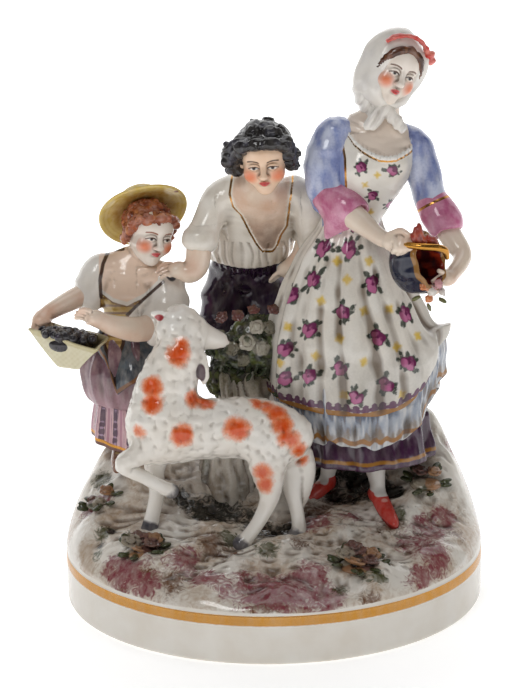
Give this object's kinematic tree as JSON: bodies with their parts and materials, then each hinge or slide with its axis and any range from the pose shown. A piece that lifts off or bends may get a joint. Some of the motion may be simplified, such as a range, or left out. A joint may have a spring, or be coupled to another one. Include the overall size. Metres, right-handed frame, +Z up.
{
  "type": "porcelain figure group",
  "caption": "Glazed porcelain figure group on an oval mound: a woman in a flowered apron, a boy, a small girl and a stepping lamb, made in one piece to stand on a shelf",
  "frame": {"origin": "centre of the flat underside of the oval base, where the group stands on the table", "axes": "+Z up, +X to the viewer's right along the oval's long axis, +Y to the back; the lamb is at the front on -Y"},
  "size_m": [0.1745, 0.148, 0.2214],
  "materials": {
    "glazed_porcelain": "clear glossy glaze over white hard-paste porcelain, painted in overglaze enamel colours with gold lines"
  },
  "bodies": {
    "root": {"figure_group": "glazed_porcelain"}
  },
  "joints": []
}
